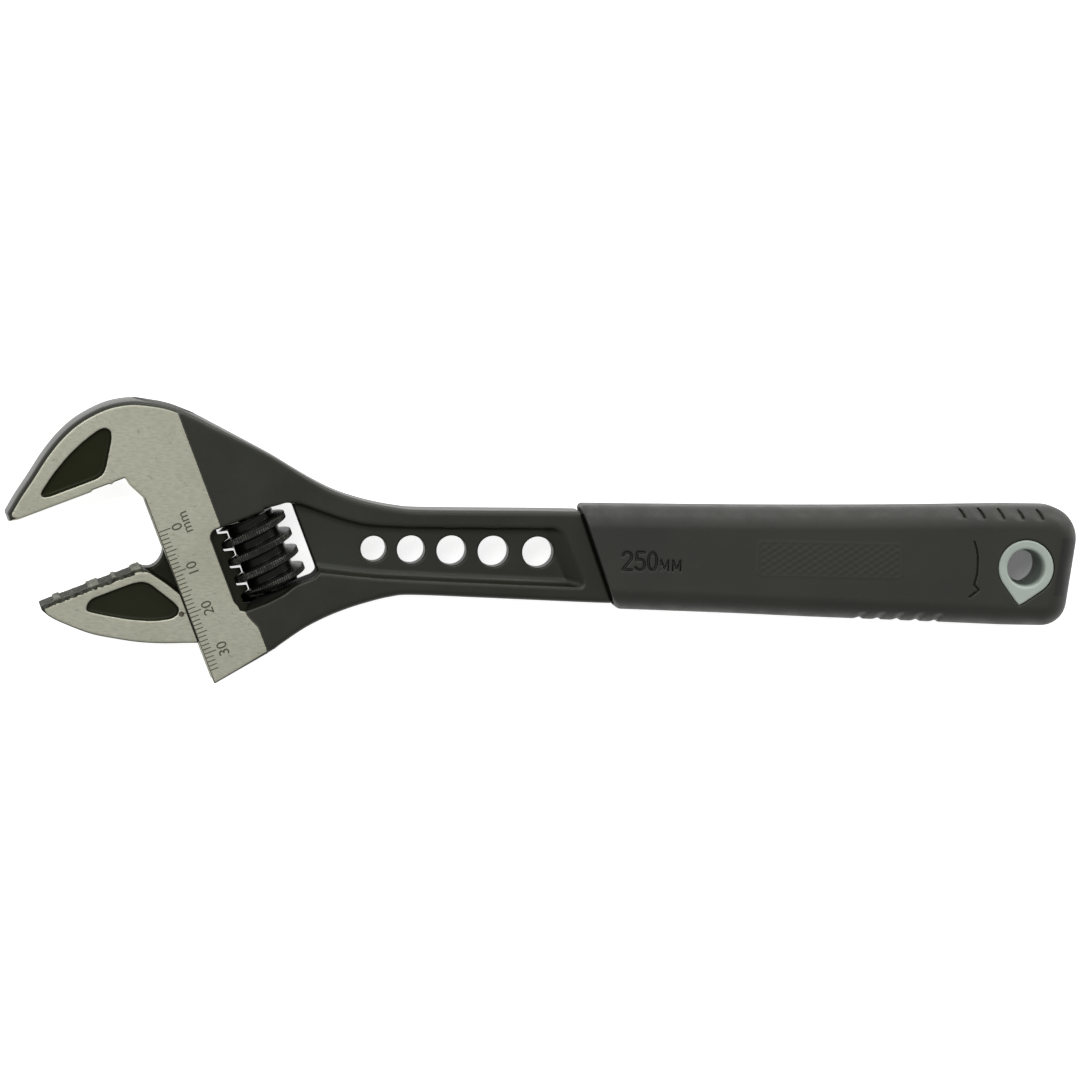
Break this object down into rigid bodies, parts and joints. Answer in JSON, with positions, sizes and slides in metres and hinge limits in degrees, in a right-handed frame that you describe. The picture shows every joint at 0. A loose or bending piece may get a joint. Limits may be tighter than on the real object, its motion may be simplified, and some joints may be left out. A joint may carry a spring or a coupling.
{
  "type": "adjustable wrench",
  "caption": "Adjustable wrench with a sliding lower jaw moved by a knurled worm, an I-section shank with round holes and a soft grip with a hang hole.",
  "frame": {"origin": "middle of the footprint at the height of the surface that the wrench lies on", "axes": "+X along the handle from the jaws to the hang hole, +Y towards the fixed jaw, +Z through the thickness, up"},
  "size_m": [0.2496, 0.0654, 0.0166],
  "materials": {
    "black_forging": "black phosphated forging, satin, with the head's faces ground to bare steel",
    "ground_steel": "fine satin grinding with a faint grain, fully black in the recesses",
    "black_worm": "black oxide, fine cross knurl on the thread crests",
    "pin_steel": "black oxide",
    "spring_steel": "bright drawn wire",
    "grip_core_plastic": "plain moulded hard plastic",
    "grip_rubber": "fine matt moulded rubber",
    "bush_plastic": "grey-green moulded plastic, satin"
  },
  "bodies": {
    "frame": {"wrench_body": "black_forging", "worm_pin": "pin_steel", "worm_spring": "spring_steel", "grip_core": "grip_core_plastic", "grip_cover": "grip_rubber", "hang_bush": "bush_plastic"},
    "jaw": {"movable_jaw": "ground_steel"},
    "worm": {"adjusting_worm": "black_worm"}
  },
  "joints": [
    {"name": "jaw_slide", "type": "slide", "parent": "frame", "child": "jaw", "axis": [0.3746, -0.9272, 0], "range_m": [-0.02, 0.014]},
    {"name": "worm_spin", "type": "hinge", "parent": "frame", "child": "worm", "pos_m": [-0.06541, -0.00236, 0.0083], "axis": [0.3746, -0.9272, 0], "range_deg": [-1187, 1696]}
  ],
  "couplings": [
    {"joint": "worm_spin", "follows": "jaw_slide", "rad_per_m": -1478.4}
  ]
}
